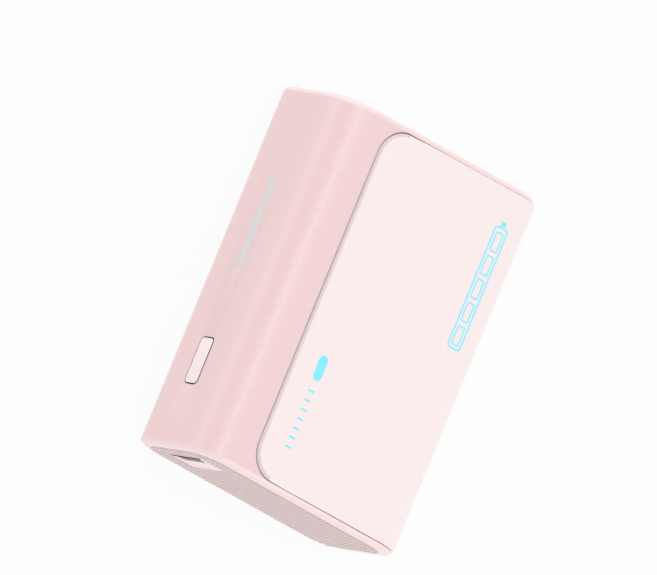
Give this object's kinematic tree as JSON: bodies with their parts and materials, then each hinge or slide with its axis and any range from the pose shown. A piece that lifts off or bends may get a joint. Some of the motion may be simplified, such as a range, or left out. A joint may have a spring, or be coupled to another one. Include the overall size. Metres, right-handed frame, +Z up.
{
  "type": "power bank",
  "caption": "Pocket power bank: a rounded sleeve-shaped case with a wrap-around cover, ribbed end pads, a side push button, light bars and a charging port at the end.",
  "frame": {"origin": "middle of the back face, on the surface that the power bank lies on", "axes": "+X across the width, away from the side with the button; +Y along the length, away from the end with the port; +Z up, out of the front face"},
  "size_m": [0.0577, 0.0811, 0.028],
  "materials": {
    "shell_plastic": "satin moulded dusty pink",
    "cover_plastic": "satin moulded pale blush",
    "cap_plastic": "satin moulded blush",
    "grip_rubber": "matt ribbed grey pink",
    "button_plastic": "semi-gloss white pink",
    "light_acrylic": "lit cyan acrylic",
    "tape": "double-sided acrylic foam tape",
    "dark_plastic": "moulded black",
    "cradle_plastic": "moulded off-white",
    "lamp": "lamp package",
    "can_steel": "nickel-plated steel",
    "port_steel": "drawn stainless steel",
    "screw_steel": "black zinc plated steel",
    "cell_wrap": "shrink sleeve",
    "electrode_foil": "wound metal foil",
    "washer_card": "insulating card",
    "nickel": "pure nickel strip",
    "foam": "closed-cell foam",
    "board": "green solder mask",
    "contact_gold": "gold plating",
    "silicone": "soft silicone",
    "inductor": "moulded iron powder",
    "chip": "moulded epoxy",
    "polymer": "moulded polymer capacitor",
    "ceramic_cap": "ceramic chip with tinned ends",
    "sensor": "epoxy bead",
    "red_wire": "silicone insulation",
    "black_wire": "silicone insulation"
  },
  "bodies": {
    "case": {"main_shell": "shell_plastic", "wrap_cover": "cover_plastic", "cover_tape": "tape", "port_end_cap": "cap_plastic", "far_end_cap": "cap_plastic", "port_grip_pad": "grip_rubber", "far_grip_pad": "grip_rubber", "tact_switch": "dark_plastic", "light_guide": "light_acrylic", "light_shroud": "dark_plastic", "status_lamps": "lamp", "near_cell_can": "can_steel", "near_cell_sleeve": "cell_wrap", "near_cell_roll": "electrode_foil", "near_cell_header": "can_steel", "near_cell_washer": "washer_card", "outer_cell_can": "can_steel", "outer_cell_sleeve": "cell_wrap", "outer_cell_roll": "electrode_foil", "outer_cell_header": "can_steel", "outer_cell_washer": "washer_card", "positive_strip": "nickel", "negative_strip": "nickel", "port_cradle": "cradle_plastic", "far_cradle": "cradle_plastic", "port_cradle_screws": "screw_steel", "far_cradle_screws": "screw_steel", "port_foam": "foam", "far_foam": "foam", "cell_pads": "foam", "main_board": "board", "port_shell": "port_steel", "port_tongue": "dark_plastic", "port_contacts": "contact_gold", "port_gasket": "silicone", "power_inductor": "inductor", "charge_controller": "chip", "protection_chip": "chip", "power_mosfets": "chip", "polymer_capacitors": "polymer", "ceramic_capacitors": "ceramic_cap", "chip_resistors": "chip", "thermistor": "sensor", "positive_lead": "red_wire", "negative_lead": "black_wire"},
    "button": {"button_cap": "button_plastic", "switch_plunger": "dark_plastic"}
  },
  "joints": [
    {"name": "button_press", "type": "slide", "parent": "case", "child": "button", "axis": [1, 0, 0], "range_m": [0, 0.0003], "stiffness_N_per_m": 1500}
  ]
}
